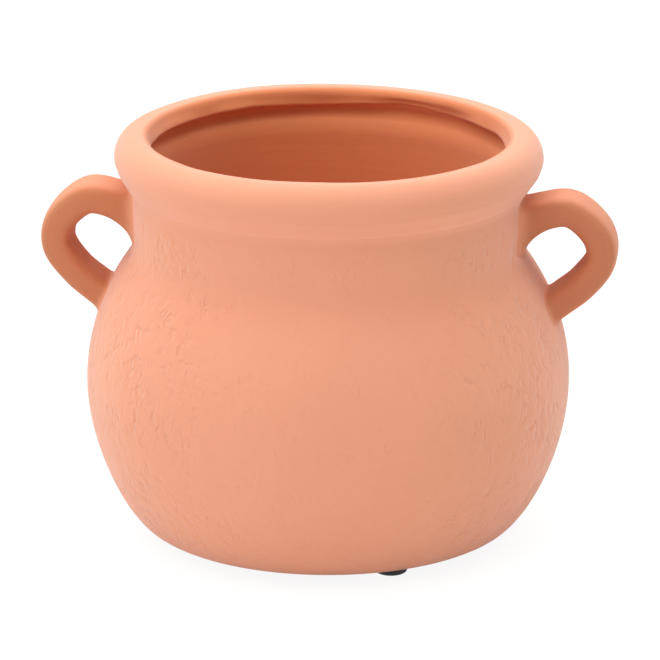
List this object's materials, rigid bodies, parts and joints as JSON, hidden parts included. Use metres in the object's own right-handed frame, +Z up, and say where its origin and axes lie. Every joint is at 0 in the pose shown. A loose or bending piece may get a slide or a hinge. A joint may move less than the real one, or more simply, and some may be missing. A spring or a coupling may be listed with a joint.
{
  "type": "two-handled terracotta planter",
  "caption": "Small round-bellied terracotta planter with a wide flat foot, a short neck under a rolled rim, two ear-shaped strap handles and round rubber pads under the foot.",
  "frame": {"origin": "on the pot's axis, at the level of the surface that the rubber pads stand on", "axes": "+Z up, +X towards the right handle, -Y towards the front; the two handles lie in the XZ plane"},
  "size_m": [0.1794, 0.1504, 0.1272],
  "materials": {
    "pot_clay": "unglazed terracotta, matte, smoothed rim and finely wrinkled neck and belly",
    "handle_clay": "unglazed terracotta, matte, sponged smooth",
    "pad_rubber": "matte black moulded rubber",
    "adhesive_film": "thin translucent double-sided film"
  },
  "bodies": {
    "root": {"pot_body": "pot_clay", "handle_right": "handle_clay", "handle_left": "handle_clay", "foot_pad_front": "pad_rubber", "foot_pad_back": "pad_rubber", "foot_pad_left": "pad_rubber", "adhesive_film_front": "adhesive_film", "adhesive_film_back": "adhesive_film", "adhesive_film_left": "adhesive_film"}
  },
  "joints": []
}
